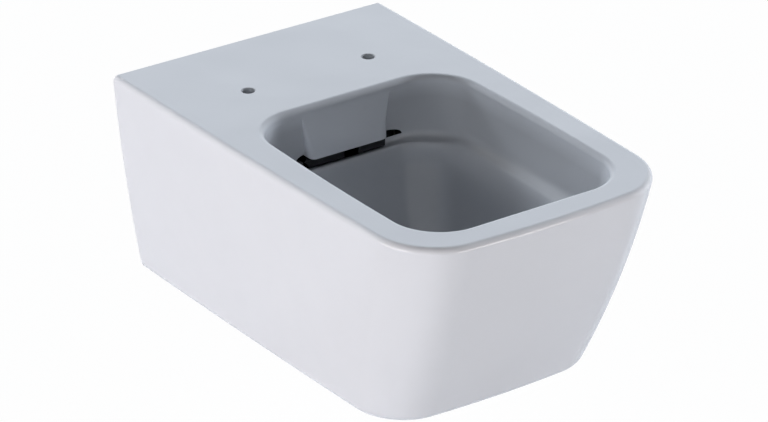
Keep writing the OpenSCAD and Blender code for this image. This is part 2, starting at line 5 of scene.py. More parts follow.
import bpy
import numpy as np
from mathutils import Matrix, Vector
from mathutils.bvhtree import BVHTree
from mathutils.geometry import delaunay_2d_cdt


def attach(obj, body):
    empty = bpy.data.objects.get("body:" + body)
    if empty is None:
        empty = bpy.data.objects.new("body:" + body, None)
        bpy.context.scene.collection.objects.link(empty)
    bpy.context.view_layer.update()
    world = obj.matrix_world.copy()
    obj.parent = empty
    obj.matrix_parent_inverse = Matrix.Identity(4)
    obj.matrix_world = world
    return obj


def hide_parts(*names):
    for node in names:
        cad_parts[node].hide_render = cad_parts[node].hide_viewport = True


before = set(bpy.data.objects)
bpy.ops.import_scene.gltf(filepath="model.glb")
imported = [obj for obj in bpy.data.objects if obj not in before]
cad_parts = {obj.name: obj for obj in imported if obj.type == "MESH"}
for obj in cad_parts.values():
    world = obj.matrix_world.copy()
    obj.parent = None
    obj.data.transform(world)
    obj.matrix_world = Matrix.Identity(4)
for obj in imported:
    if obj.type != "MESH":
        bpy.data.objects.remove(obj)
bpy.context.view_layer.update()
scene = bpy.context.scene
MM = 0.001


# Camera, at the photograph's angle

AZIMUTH, ELEVATION = math.radians(-35.0406), math.radians(26.1399)
TARGET = Vector((-0.01087, -0.27, -0.01841))
DISTANCE = 4.4044

away = Vector((
    math.sin(AZIMUTH) * math.cos(ELEVATION),
    -math.cos(AZIMUTH) * math.cos(ELEVATION),
    math.sin(ELEVATION),
))
camera = bpy.data.objects.new("camera", bpy.data.cameras.new("camera"))
scene.collection.objects.link(camera)
camera.location = TARGET + away * DISTANCE
camera.rotation_euler = (-away).to_track_quat("-Z", "Y").to_euler()
camera.data.sensor_width = 36
camera.data.lens = 196.2
camera.data.clip_end = 50
scene.camera = camera


# Materials


class Shader:
    """A material and short ways to add nodes to it."""

    def __init__(self, name):
        self.material = bpy.data.materials.new(name)
        self.material.use_nodes = True
        self.tree = self.material.node_tree
        self.tree.nodes.clear()
        self.where = self.add("ShaderNodeTexCoord").outputs["Object"]

    def add(self, kind, **settings):
        node = self.tree.nodes.new(kind)
        for key, value in settings.items():
            setattr(node, key, value)
        return node

    def join(self, source, socket):
        self.tree.links.new(source, socket)

    def noise(self, scale, detail=2.0, rough=0.5, stretch=None):
        node = self.add("ShaderNodeTexNoise")
        node.inputs["Scale"].default_value = scale
        node.inputs["Detail"].default_value = detail
        node.inputs["Roughness"].default_value = rough
        source = self.where
        if stretch:
            mapping = self.add("ShaderNodeMapping")
            mapping.inputs["Scale"].default_value = stretch
            self.join(source, mapping.inputs["Vector"])
            source = mapping.outputs["Vector"]
        self.join(source, node.inputs["Vector"])
        return node.outputs["Fac"]

    def span(self, source, low, high, start=0.0, end=1.0):
        node = self.add("ShaderNodeMapRange")
        node.inputs["From Min"].default_value = start
        node.inputs["From Max"].default_value = end
        node.inputs["To Min"].default_value = low
        node.inputs["To Max"].default_value = high
        self.join(source, node.inputs["Value"])
        return node.outputs["Result"]

    def mix(self, factor, a, b):
        node = self.add("ShaderNodeMix", data_type="RGBA")
        self.join(factor, node.inputs["Factor"])
        for value, socket in ((a, node.inputs[6]), (b, node.inputs[7])):
            if isinstance(value, tuple):
                socket.default_value = (*value, 1)
            else:
                self.join(value, socket)
        return node.outputs[2]

    def bump(self, layers):
        """Bumps laid on each other, each a height and its distance in metres."""
        normal = None
        for height, distance in layers:
            node = self.add("ShaderNodeBump")
            node.inputs["Distance"].default_value = distance
            self.join(height, node.inputs["Height"])
            if normal:
                self.join(normal, node.inputs["Normal"])
            normal = node.outputs["Normal"]
        return normal

    def finish(self, colour, rough, normal=None, **fixed):
        node = self.add("ShaderNodeBsdfPrincipled")
        for key, value in fixed.items():
            node.inputs[key.replace("_", " ")].default_value = value
        self.join(colour, node.inputs["Base Color"])
        self.join(rough, node.inputs["Roughness"])
        if normal:
            self.join(normal, node.inputs["Normal"])
        out = self.add("ShaderNodeOutputMaterial")
        self.join(node.outputs["BSDF"], out.inputs["Surface"])
        return self.material


PALE, PALER = (0.735, 0.745, 0.768), (0.765, 0.775, 0.796)
# Heights in metres over which the edge glaze greys from the deck's white: painted shade below the opening's
# edge
SHADE_FADE_LOW, SHADE_FADE_HIGH = 0.056, 0.073


def glazed_white(name, depth, fade=False, gloss=0.5):
    """Vitreous china: slow waves and a faint orange peel in the glaze, a little pooling and tiny specks.
    A depth below 1 greys its body: painted shade. With fade it is 1 on the deck and reaches the depth below
    the edge, as painted shade down the wall."""
    s = Shader(name)
    slow = s.noise(7, 2)
    # A depth below 1 darkens the glaze: painted shade
    body = s.mix(slow, tuple(c * depth for c in PALE), tuple(c * depth for c in PALER))
    if fade:
        # The fade greys the glaze below the deck: painted shade
        split = s.add("ShaderNodeSeparateXYZ")
        s.join(s.where, split.inputs[0])
        below = s.span(split.outputs["Z"], 1, 0, SHADE_FADE_LOW, SHADE_FADE_HIGH)
        body = s.mix(below, s.mix(slow, PALE, PALER), body)
    specks = s.span(s.noise(900, 1), 0, 1, 0.80, 0.86)
    colour = s.mix(specks, body, (0.62, 0.61, 0.60))
    rough = s.span(s.noise(38, 3), 0.10, 0.19, 0.3, 0.7)
    normal = s.bump([
        (s.noise(9, 1), 0.0022),
        (s.noise(33, 1), 0.00022),
        (s.noise(520, 1), 0.000006),
    ])
    return s.finish(colour, rough, normal, IOR=1.5, Specular_IOR_Level=gloss)


def bisque():
    """Unglazed side of the casting with thin glaze overspray, drips and mould grain."""
    s = Shader("bisque")
    patches = s.span(s.noise(22, 4, 0.6), 0, 1, 0.42, 0.62)
    drips = s.noise(60, 3, 0.55, (1, 1, 0.18))
    clay = s.mix(drips, (0.66, 0.62, 0.56), (0.74, 0.71, 0.66))
    colour = s.mix(patches, clay, (0.80, 0.80, 0.81))
    rough = s.span(patches, 0.82, 0.34)
    normal = s.bump([(s.noise(60, 3), 0.0006), (s.noise(700, 4, 0.7), 0.00006)])
    return s.finish(colour, rough, normal, IOR=1.5)


def zinc_steel():
    """Zinc plated steel: rolled grain, faint blue and straw passivation and dull handling marks."""
    s = Shader("zinc_steel")
    tint = s.mix(s.noise(45, 3), (0.60, 0.63, 0.67), (0.69, 0.67, 0.61))
    marks = s.span(s.noise(160, 5, 0.7), 0, 1, 0.56, 0.72)
    colour = s.mix(marks, tint, (0.40, 0.41, 0.42))
    grain = s.noise(900, 2, 0.6, (1, 0.08, 1))
    rough = s.span(grain, 0.26, 0.46, 0.3, 0.7)
    normal = s.bump([(grain, 0.00002), (s.noise(250, 2), 0.00005)])
    return s.finish(colour, rough, normal, Metallic=1.0)


def black_rubber():
    """Moulded rubber with a dry bloom."""
    s = Shader("black_rubber")
    bloom = s.span(s.noise(120, 5, 0.65), 0, 1, 0.45, 0.75)
    colour = s.mix(bloom, (0.018, 0.018, 0.019), (0.075, 0.074, 0.072))
    rough = s.span(bloom, 0.48, 0.78)
    normal = s.bump([(s.noise(800, 3), 0.00003)])
    return s.finish(colour, rough, normal, IOR=1.52)


def grey_plastic():
    """Glass filled nylon: fibre flecks and a fine mould grain."""
    s = Shader("grey_plastic")
    flecks = s.noise(1400, 2, 0.5, (1, 0.15, 1))
    base = s.mix(s.noise(50, 3), (0.115, 0.125, 0.145), (0.15, 0.16, 0.18))
    colour = s.mix(s.span(flecks, 0, 0.5, 0.6, 0.8), base, (0.34, 0.35, 0.37))
    rough = s.span(flecks, 0.42, 0.58, 0.3, 0.7)
    normal = s.bump([(s.noise(1100, 3), 0.00002)])
    return s.finish(colour, rough, normal, IOR=1.53)


# The bowl's glaze is greyer, as painted shade for the dark inside of the bowl, and less glossy, as it mirrors
# darker surroundings in the photo than here
BOWL_SHADE_DEPTH, BOWL_GLOSS, CHANNEL_SHADE_DEPTH = 0.78, 0.3, 0.05
GLAZE, BISQUE = glazed_white("glazed_white", 1.0), bisque()
# The bowl glaze is greyer all over, as painted shade; the hinge holes take it
BOWL_SHADE_GLAZE = glazed_white("glazed_bowl_painted_shade", BOWL_SHADE_DEPTH, gloss=BOWL_GLOSS)
# The edge glaze is white on the deck and greys below the opening's edge: painted shade
EDGE_SHADE_GLAZE = glazed_white("glazed_edge_painted_shade", BOWL_SHADE_DEPTH, fade=True, gloss=BOWL_GLOSS)
# The near-black glaze for the hollows of distributor, chamber, well, ports and groove: painted shade
CHANNEL_SHADE_GLAZE = glazed_white("channel", CHANNEL_SHADE_DEPTH)
ZINC, RUBBER, NYLON = zinc_steel(), black_rubber(), grey_plastic()


# Mesh building


def inside(spot, loop):
    """Whether a 2-D point lies in a loop."""
    a = np.asarray(loop, float)[:, :2]
    b = np.roll(a, -1, 0)
    cross = (a[:, 1] > spot[1]) != (b[:, 1] > spot[1])
    a, b = a[cross], b[cross]
    reach = a[:, 0] + (spot[1] - a[:, 1]) / (b[:, 1] - a[:, 1]) * (b[:, 0] - a[:, 0])
    return int((reach > spot[0]).sum()) % 2 == 1


class Skin:
    """One closed mesh of smooth panels and flat faces, in millimetres, with its own normal at each corner."""

    def __init__(self):
        self.points, self.index = [], {}
        self.faces, self.normals, self.paint = [], [], []

    def vertex(self, p):
        key = (round(float(p[0]), 3), round(float(p[1]), 3), round(float(p[2]), 3))
        if key not in self.index:
            self.index[key] = len(self.points)
            self.points.append(key)
        return self.index[key]

    def face(self, corners, normals, paint):
        ids = [self.vertex(p) for p in corners]
        keep = [k for k in range(len(ids)) if ids[k] != ids[k - 1]]
        if len(keep) > 2:
            self.faces.append([ids[k] for k in keep])
            self.normals.extend(tuple(normals[k]) for k in keep)
            self.paint.append(paint)

    def grid(self, rows, wrap=False, flip=False, paint=0):
        """A smooth panel: rows run counter-clockwise from above and are listed downwards."""
        g = np.asarray(rows, float)
        order = 2 if len(g) > 2 else 1
        down = np.gradient(g, axis=0, edge_order=order)
        if wrap:
            along = np.roll(g, -1, 1) - np.roll(g, 1, 1)
        else:
            along = np.gradient(g, axis=1, edge_order=2 if g.shape[1] > 2 else 1)
        normal = np.cross(down, along)
        normal /= np.maximum(np.linalg.norm(normal, axis=2, keepdims=True), 1e-12)
        if flip:
            normal = -normal
        m, n = g.shape[:2]
        for i in range(m - 1):
            for j in range(n if wrap else n - 1):
                k = (j + 1) % n
                quad = [(i, j), (i + 1, j), (i + 1, k), (i, k)]
                if flip:
                    quad.reverse()
                self.face([g[q] for q in quad], [normal[q] for q in quad], paint)

    def flat(self, loops, normal, lift, paint=0):
        """Fills the first loop up to the holes in it; lift places a 2-D point in space."""
        points, edges = [], []
        for loop in loops:
            start, count = len(points), len(loop)
            points += [(float(p[0]), float(p[1])) for p in loop]
            edges += [(start + i, start + (i + 1) % count) for i in range(count)]
        _, _, faces, origin, _, _ = delaunay_2d_cdt([Vector(p) for p in points], edges, [], 1, 1e-5)
        for f in faces:
            flat = [points[origin[v][0]] for v in f]
            middle = np.mean(flat, axis=0)
            if not inside(middle, loops[0]) or any(inside(middle, hole) for hole in loops[1:]):
                continue
            corners = [np.array(lift(p), float) for p in flat]
            turn = np.cross(corners[1] - corners[0], corners[2] - corners[0])
            if np.dot(turn, normal) < 0:
                corners.reverse()
            self.face(corners, [normal] * len(corners), paint)

    def build(self, name, paints):
        mesh = bpy.data.meshes.new(name)
        mesh.from_pydata([[c * MM for c in p] for p in self.points], [], self.faces)
        mesh.polygons.foreach_set("use_smooth", [True] * len(self.faces))
        mesh.polygons.foreach_set("material_index", self.paint)
        for paint in paints:
            mesh.materials.append(paint)
        mesh.update()
        mesh.normals_split_custom_set(self.normals)
        made = bpy.data.objects.new(name, mesh)
        scene.collection.objects.link(made)
        return made


def at_height(z):
    return lambda p: (p[0], p[1], z)


def mix(a, b, k):
    return a + (b - a) * k


def ease(x):
    """From 0 to 1 with level ends."""
    x = np.clip(x, 0.0, 1.0)
    return x * x * (3 - 2 * x)


def circle(r, x, y, z, count=48):
    """A ring, counter-clockwise from above."""
    a = np.arange(count) * 2 * math.pi / count
    return np.stack([x + r * np.cos(a), y + r * np.sin(a), np.full(count, float(z))], 1)


def smooth_table(table, count):
    """Rows on one smooth curve through the rows of a table, evenly spread along it."""
    t = np.asarray(table, float)
    s = np.concatenate([[0], np.cumsum(np.linalg.norm(np.diff(t[:, :2], axis=0), axis=1))])
    slope = np.gradient(t, s, axis=0)
    rows = []
    for x in np.linspace(0, s[-1], count):
        i = min(int(np.searchsorted(s, x, side="right")) - 1, len(s) - 2)
        h = s[i + 1] - s[i]
        u = (x - s[i]) / h
        rows.append(
            (2 * u**3 - 3 * u**2 + 1) * t[i] + (u**3 - 2 * u**2 + u) * h * slope[i]
            + (3 * u**2 - 2 * u**3) * t[i + 1] + (u**3 - u**2) * h * slope[i + 1]
        )
    return np.array(rows)


QUARTER = np.linspace(0, math.pi / 2, 15)


# Outline of the pan, by the same rules as its source

DECK_Z, BODY_W, BODY_L, BODY_H = 80.0, 350.0, 550.0, 240.0
EDGE_R, FOOT_R, DECK_T, WALL_T = 6.5, 10.0, 12.0, 10.0
LEAN_H = BODY_H - EDGE_R
# Inset at the foot and lean under the edge in degrees, of sides and front; radii of their bows; the upright
# corner's radius at the deck and what it loses down to the foot
SIDE_IN, SIDE_LEAN, FRONT_IN, FRONT_LEAN = 30, 4.5, 88, 14.5
SIDE_BOW, FRONT_BOW = 13000, 1400
CORNER_R, CORNER_LOSS = 67, 11
HINGE_X, HINGE_Y, HINGE_R, HINGE_SOFT = 77.5, 114.0, 7.0, 1.1


def half_outline(w, l, r):
    side = np.linspace(0, 1, 30, endpoint=False)
    turn = np.linspace(0, math.pi / 2, 29)
    front = np.linspace(0, 1, 19)[1:]
    return np.concatenate([
        np.stack([np.full(side.size, w), -(l - r) * side], 1),
        np.stack([w - r + r * np.cos(turn), -(l - r) - r * np.sin(turn)], 1),
        np.stack([(w - r) * (1 - front), np.full(front.size, -l)], 1),
    ])


def outline(w, l, r):
    """Edge of the pan: from the wall on the left, round the front, to the wall on the right."""
    half = half_outline(w, l, r)
    x, y = half[:, 0], half[:, 1]
    half = np.stack([x * (1 - y * y / (2 * SIDE_BOW * w)), y * (1 - x * x / (2 * FRONT_BOW * l))], 1)
    return np.concatenate([half * [-1, 1], half[-2::-1]])


def lean_in(d, foot_in, lean):
    """Inset of a side at a depth under the deck."""
    u = max(0.0, d - EDGE_R)
    slope = math.tan(math.radians(lean))
    return u * slope + (foot_in - LEAN_H * slope) * (u / LEAN_H) ** 2


def edge_in(d):
    """Inset of the rounded edges at the deck and at the foot."""
    if d < EDGE_R:
        return EDGE_R - math.sqrt(max(0.0, EDGE_R**2 - (EDGE_R - d) ** 2))
    foot = d - BODY_H + FOOT_R
    return FOOT_R - math.sqrt(max(0.0, FOOT_R**2 - foot**2)) if foot > 0 else 0.0


def level(d, t=0.0):
    """Outline of the pan at a depth under the deck, t inside its skin."""
    e = edge_in(d) + t
    flat = outline(
        BODY_W / 2 - lean_in(d, SIDE_IN, SIDE_LEAN) - e,
        BODY_L - lean_in(d, FRONT_IN, FRONT_LEAN) - e,
        CORNER_R - CORNER_LOSS * d / BODY_H - e,
    )
    return np.column_stack([flat, np.full(len(flat), DECK_Z - d)])


# Opening and bowl, by the same rules as their source

# Opening: half width, rear, front, corner radius, rounding of its edge and bow of its sides
OPEN_HALF, OPEN_REAR, OPEN_FRONT, OPEN_R, MOUTH_R, BOW = 129.5, 184.0, 510.0, 52.0, 7.0, 4.0
RIM_TAN = math.tan(math.radians(8))


def basin(w, rear, front, r, z, bow):
    """A closed rounded outline whose sides bow out, counter-clockwise from above."""
    hl, middle = (front - rear) / 2, -(rear + front) / 2
    edge = np.linspace(0, 1, 18, endpoint=False)
    turn = np.linspace(0, math.pi / 2, 21)
    side = np.linspace(1, -1, 41)[1:-1]
    corner = np.stack([w - r + r * np.sin(turn), hl - r + r * np.cos(turn)], 1)
    rear_half = np.concatenate([np.stack([(w - r) * edge, np.full(edge.size, hl)], 1), corner])
    half = np.concatenate([
        rear_half,
        np.stack([np.full(side.size, w), (hl - r) * side], 1),
        rear_half[::-1] * [1, -1],
    ])
    half[:, 0] *= 1 - bow / w * (half[:, 1] / hl) ** 2
    ring = np.concatenate([half * [-1, 1], half[-2:0:-1]])
    return np.column_stack([ring[:, 0], middle + ring[:, 1], np.full(len(ring), float(z))])


def mouth_ring(d):
    """Edge of the opening at a depth under the deck."""
    out = MOUTH_R - math.sqrt(max(0.0, MOUTH_R**2 - (MOUTH_R - d) ** 2)) if d < MOUTH_R else 0.0
    inward = max(0.0, d - MOUTH_R) * RIM_TAN
    return basin(
        OPEN_HALF + out - inward,
        OPEN_REAR - out,
        OPEN_FRONT + out - inward,
        OPEN_R + out - inward / 2,
        DECK_Z - d,
        BOW,
    )


def bowl_ring(v, t=0.0):
    """Section of the bowl at one of its levels, t outside it."""
    return basin(v[1] + t, v[2] - t, v[3] + t, v[4] + t, DECK_Z - v[0], BOW * v[1] / OPEN_HALF)


# Back of the bowl's solid at the rear, and foot of the wall seen there
REAR, WALL_FOOT, WALL_LEAN_H = 174.0, 179.0, 45.0
RIM_H, LEDGE_W, LEDGE_REAR, LEDGE_END, BOWL_T = 62.0, 12.0, 191.5, 68.0, 9.0
RIM_END = (RIM_H - MOUTH_R) * RIM_TAN
# Inner edge of the ledge: half width, rear, front
LEDGE = (OPEN_HALF - RIM_END - LEDGE_W, LEDGE_REAR, OPEN_FRONT - RIM_END - LEDGE_W)
SUMP_W, SUMP_REAR, SUMP_L, SUMP_DEPTH, SUMP_UNDER, FLOOR_IN = 58.0, 243.0, 84.0, 222.0, 230.0, 6.0
# From the ledge to the sump: share of the depth, share of the way inward, corner radius
FALL = [(0.14, 0.09, 42), (0.32, 0.26, 40), (0.5, 0.47, 36), (0.66, 0.68, 30), (0.8, 0.87, 24),
        (0.92, 0.97, 18), (0.98, 1, 15)]


def upright(d):
    """The wall below the edge: it leans in at the sides and in front, and back at the rear."""
    inward = (d - MOUTH_R) * RIM_TAN
    back = (OPEN_REAR - WALL_FOOT) * min(1.0, (d - DECK_T) / WALL_LEAN_H)
    return [d, OPEN_HALF - inward, OPEN_REAR - back, OPEN_FRONT - inward, OPEN_R - inward / 2]


# Levels of the bowl: depth under the deck, half width, rear, front, corner radius
FALL_LEVELS = [[
    mix(LEDGE_END + 3, SUMP_DEPTH, k),
    mix(LEDGE[0], SUMP_W, s),
    mix(LEDGE[1], SUMP_REAR, min(1, s * 1.5)),
    mix(LEDGE[2], SUMP_REAR + SUMP_L, s),
    r,
] for k, s, r in FALL]
BOWL_LEVELS = [upright(d) for d in (12, 27, 42, 52, RIM_H - 5)] + [
    [RIM_H - 1, OPEN_HALF - RIM_END - 1.5, WALL_FOOT + 1.5, OPEN_FRONT - RIM_END - 1.5, OPEN_R - 4],
    [RIM_H + 1, OPEN_HALF - RIM_END - 4, WALL_FOOT + 4, OPEN_FRONT - RIM_END - 4, OPEN_R - 4],
    [LEDGE_END - 1.5, LEDGE[0] + 2.5, LEDGE[1] - 2.5, LEDGE[2] + 2.5, OPEN_R - 4],
    [LEDGE_END + 3, *LEDGE, OPEN_R - 4],
] + FALL_LEVELS + [
    [SUMP_DEPTH, SUMP_W - FLOOR_IN, SUMP_REAR + FLOOR_IN / 2, SUMP_REAR + SUMP_L - FLOOR_IN, 12],
]
OUTER_LEVELS = [
    [DECK_T, OPEN_HALF, REAR, OPEN_FRONT, OPEN_R],
    [LEDGE_END + 11, OPEN_HALF - RIM_END - 3, REAR, OPEN_FRONT - RIM_END - 3, OPEN_R],
    [LEDGE_END + 22, LEDGE[0] + 1, REAR + 22, LEDGE[2] - 1, OPEN_R - 3],
] + FALL_LEVELS[1:] + [[SUMP_UNDER, SUMP_W - 2, SUMP_REAR, SUMP_REAR + SUMP_L - 2, 14]]


def make_deck():
    """Deck and rim in one, with the opening's edge and the two hinge holes."""
    s = Skin()
    depths = [EDGE_R * (1 - math.cos(a)) for a in QUARTER] + list(np.linspace(EDGE_R, DECK_T, 5)[1:])
    outer = [level(d) for d in depths]
    s.grid(outer)
    depths = [MOUTH_R * (1 - math.cos(a)) for a in QUARTER] + list(np.linspace(MOUTH_R, DECK_T, 4)[1:])
    mouth = [mouth_ring(d) for d in depths]
    # The opening's edge takes the edge glaze, which greys below the deck as painted shade
    s.grid(mouth, wrap=True, flip=True, paint=3)
    holes = []
    rows = []
    for a in QUARTER[::2]:
        rows.append((HINGE_R + HINGE_SOFT * (1 - math.sin(a)), HINGE_SOFT * (1 - math.cos(a))))
    rows += [(HINGE_R, d) for d in (4, 8, DECK_T)]
    # The hinge holes take the greyer bowl glaze: painted shade
    for x in (-HINGE_X, HINGE_X):
        rings = [circle(r, x, -HINGE_Y, DECK_Z - d) for r, d in rows]
        s.grid(rings, wrap=True, flip=True, paint=2)
        holes.append(rings)
    s.flat([outer[0], mouth[0]] + [h[0] for h in holes], (0, 0, 1), at_height(DECK_Z))
    under = DECK_Z - DECK_T
    s.flat([outer[-1], mouth[-1]] + [h[-1] for h in holes], (0, 0, -1), at_height(under), 1)
    column = [(ring[0][0], ring[0][2]) for ring in outer]
    s.flat([column + [(-x, z) for x, z in reversed(column)]], (0, 1, 0), lambda p: (p[0], 0, p[1]), 1)
    return s.build("deck", [GLAZE, BISQUE, BOWL_SHADE_GLAZE, EDGE_SHADE_GLAZE])


RECESS_HALF, RECESS_L, RECESS_R = 65.0, 75.0, 12.0


def recess(z):
    """Edge of the drain recess in the underside, from the wall on the right to the wall on the left."""
    r = RECESS_R
    turn = np.linspace(0, math.pi / 2, 9)
    right = np.stack([RECESS_HALF - r + r * np.cos(turn), -RECESS_L + r - r * np.sin(turn)], 1)
    u = np.concatenate([[[RECESS_HALF, 0]], right, (right * [-1, 1])[::-1], [[-RECESS_HALF, 0]]])
    return np.column_stack([u, np.full(len(u), float(z))])


def make_skirt():
    """Sides, front and underside, open at the wall."""
    s = Skin()
    depths = list(np.linspace(DECK_T, BODY_H - FOOT_R, 45))
    outer = [level(d) for d in depths + [BODY_H - FOOT_R + FOOT_R * math.sin(a) for a in QUARTER[1:]]]
    inner = [level(d, WALL_T) for d in depths]
    s.grid(outer)
    s.grid(inner, flip=True, paint=1)
    foot, floor = DECK_Z - BODY_H, DECK_Z - BODY_H + WALL_T
    s.flat([np.concatenate([outer[0], inner[0][::-1]])], (0, 0, 1), at_height(DECK_Z - DECK_T), 1)
    s.flat([np.concatenate([outer[-1], recess(foot)])], (0, 0, -1), at_height(foot))
    s.flat([np.concatenate([inner[-1], recess(floor)])], (0, 0, 1), at_height(floor), 1)
    s.grid([recess(floor), recess(foot)], paint=1)
    for side in (0, -1):
        end = -RECESS_HALF if side == 0 else RECESS_HALF
        loop = [(ring[side][0], ring[side][2]) for ring in outer] + [(end, foot), (end, floor)]
        loop += [(ring[side][0], ring[side][2]) for ring in reversed(inner)]
        s.flat([loop], (0, 1, 0), lambda p: (p[0], 0, p[1]), 1)
    return s.build("skirt", [GLAZE, BISQUE])


LEDGE_DROP, DROP_START, DROP_FULL = 8.5, 245.0, 200.0


def lowered(ring):
    """The ledge lies lower along the rear than along the sides. The drop grows down the wall, is less at
    the ledge's front, so that the ledge is nearly level, and ends in the slope below."""
    ring = ring.copy()
    depth = DECK_Z - ring[:, 2]
    fade = ease((depth - 20) / 36) * (1 - 0.8 * ease((depth - 61) / 11)) * ease((118 - depth) / 40)
    ring[:, 2] -= LEDGE_DROP * ease((ring[:, 1] + DROP_START) / (DROP_START - DROP_FULL)) * fade
    return ring


def make_bowl():
    """The bowl from under the deck down to its sump."""
    s = Skin()
    inner = [lowered(bowl_ring(v)) for v in smooth_table(BOWL_LEVELS, 96)]
    outer = [bowl_ring(v, BOWL_T) for v in smooth_table(OUTER_LEVELS, 40)]
    s.grid(inner, wrap=True, flip=True)
    s.grid(outer, wrap=True, paint=1)
    s.grid([inner[0], outer[0]], wrap=True, paint=1)
    s.flat([inner[-1]], (0, 0, 1), at_height(DECK_Z - SUMP_DEPTH))
    s.flat([outer[-1]], (0, 0, -1), at_height(DECK_Z - SUMP_UNDER), 1)
    # Inside, the edge glaze greys down the wall and the near-black glaze lines the ports and groove: both
    # painted shade
    return s.build("bowl_inside", [EDGE_SHADE_GLAZE, BISQUE, CHANNEL_SHADE_GLAZE])


def cutter(rings, paint=0):
    """A closed solid through rings, used to cut and then removed. The faces it makes get its paint."""
    s = Skin()
    s.grid(rings, wrap=True, paint=paint)
    for ring, flip in ((rings[0], True), (rings[-1], False)):
        middle = np.mean(ring, axis=0)
        for j in range(len(ring)):
            pair = [ring[j], ring[(j + 1) % len(ring)]]
            if flip:
                pair.reverse()
            s.face([middle, *pair], [(0, 0, 1)] * 3, paint)
    return s.build("cutter", [BOWL_SHADE_GLAZE, BISQUE, CHANNEL_SHADE_GLAZE])


def cut(piece, cutters):
    """Takes the cutters out of a piece; its skin keeps the normals that it had."""
    before = piece.data
    before.calc_loop_triangles()
    corner = np.array([n.vector for n in before.corner_normals])
    tree = BVHTree.FromPolygons(
        [v.co for v in before.vertices], [tuple(t.vertices) for t in before.loop_triangles])
    loops = [tuple(t.loops) for t in before.loop_triangles]
    spots = np.array([v.co for v in before.vertices])
    for tool in cutters:
        change = piece.modifiers.new("cut", "BOOLEAN")
        change.operation, change.solver, change.object = "DIFFERENCE", "EXACT", tool
    bpy.context.view_layer.update()
    after = bpy.data.meshes.new_from_object(piece.evaluated_get(bpy.context.evaluated_depsgraph_get()))
    piece.modifiers.clear()
    piece.data = after
    for tool in cutters:
        bpy.data.objects.remove(tool)
    normals = []
    for face in after.polygons:
        for k in face.loop_indices:
            spot = after.vertices[after.loops[k].vertex_index].co
            spot = spot.lerp(face.center, 0.03)
            near, _, index, gap = tree.find_nearest(spot)
            normal = face.normal
            if gap is not None and gap < 2e-5:
                a, b, c = (spots[before.loops[i].vertex_index] for i in loops[index])
                p = np.array(near)
                whole = np.linalg.norm(np.cross(b - a, c - a)) or 1.0
                wa = np.linalg.norm(np.cross(b - p, c - p)) / whole
                wb = np.linalg.norm(np.cross(c - p, a - p)) / whole
                smooth = Vector(wa * corner[loops[index][0]] + wb * corner[loops[index][1]]
                                + max(0.0, 1 - wa - wb) * corner[loops[index][2]])
                if smooth.length > 0 and smooth.normalized().dot(face.normal) > 0.85:
                    normal = smooth.normalized()
            normals.append(tuple(normal))
    after.polygons.foreach_set("use_smooth", [True] * len(after.polygons))
    after.normals_split_custom_set(normals)
    return piece


def box_cutter(span, paint=0):
    x0, x1, y0, y1, z0, z1 = span
    plan = np.array([[x0, y0], [x1, y0], [x1, y1], [x0, y1]], float)
    return cutter([np.column_stack([plan, np.full(4, float(z))]) for z in (z1, z0)], paint)


def tube_along_y(half_w, half_h, z, spans, count=72):
    """Rings round an axis along y, listed from the front to the wall: (y, how much wider)."""
    a = np.arange(count) * 2 * math.pi / count
    return [
        np.stack([(half_w + g) * np.cos(a), np.full(count, float(y)), z + (half_h + g) * np.sin(a)], 1)
        for y, g in spans
    ]


# Distributor, a front sheet that runs out of the edge of the opening: its top, foot, half width at both,
# front at the foot, rounding of its upright edges there and the ends of its sides in the wall
NOSE_TOP, NOSE_BOTTOM, NOSE_WIDE, NOSE_HALF, NOSE_FRONT = DECK_Z - MOUTH_R, 20.0, 57.0, 49.4, 192.8
NOSE_ROUND, NOSE_BACK = 6.5, 165.0
# Chamber behind the bowl's wall, top of its hollow and of the distributor's, its floor and wall thickness,
# and the opening to the flush duct
CHAMBER_HALF, CHAMBER_FRONT, CHAMBER_BACK, CHAMBER_TOP, HOLLOW_TOP = 81.0, 165.0, 130.0, 68.0, 62.0
SLOT_FLOOR, DUCT_T, DUCT_HALF, DUCT_FLOOR = 3.0, 6.0, 27.5, 26.0
# Well under the groove and its hollow, open to the chamber: left, right, front, back, foot, top
WELL, WELL_HOLLOW = (-64, 54, -190, -160, -19, 2.9), (-60, 50, -187, -163, -15, 5)
# How far the cuts for ports and groove go back, into the chamber
CUT_BACK = 163.0
# Mouth of the trap in the rear of the sump
MOUTH_HALF_W, MOUTH_HALF_H = 36.0, 21.0
MOUTH_Z = DECK_Z - SUMP_DEPTH + 1 + MOUTH_HALF_H


def nose_taper(z):
    """How far down the distributor a height is, from 0 at the deck to 1 at its foot."""
    return max(0.0, (NOSE_TOP - z) / (NOSE_TOP - NOSE_BOTTOM))


def nose_cutter():
    """Way of the distributor through the rear wall."""
    front, back, rings = -200, -164, []
    for z in (DECK_Z + 1, NOSE_BOTTOM - 0.5):
        h = mix(NOSE_WIDE, NOSE_HALF, nose_taper(z)) + 0.3
        rings.append(np.array([[-h, front, z], [h, front, z], [h, back, z], [-h, back, z]]))
    return cutter(rings)


def port_cutter():
    """Arched ports through the foot of the rear wall, one on each side of the distributor."""
    front, floor, height, middle, right, left = -186, 14.0, 9.2, 50.0, 26.0, 12.5
    a = np.linspace(0, math.pi / 2, 20)
    arch = [(middle + right * math.cos(t), floor + height * math.sin(t)) for t in a]
    arch += [(-middle - left * math.cos(t), floor + height * math.sin(t)) for t in a[::-1]]
    arch += [(x, floor) for x in np.linspace(-middle - left, middle + right, 12)[1:-1]]
    # Faces of the ports take the near-black glaze: painted shade
    return cutter([np.array([[x, y, z] for x, z in arch]) for y in (front, -CUT_BACK)], 2)


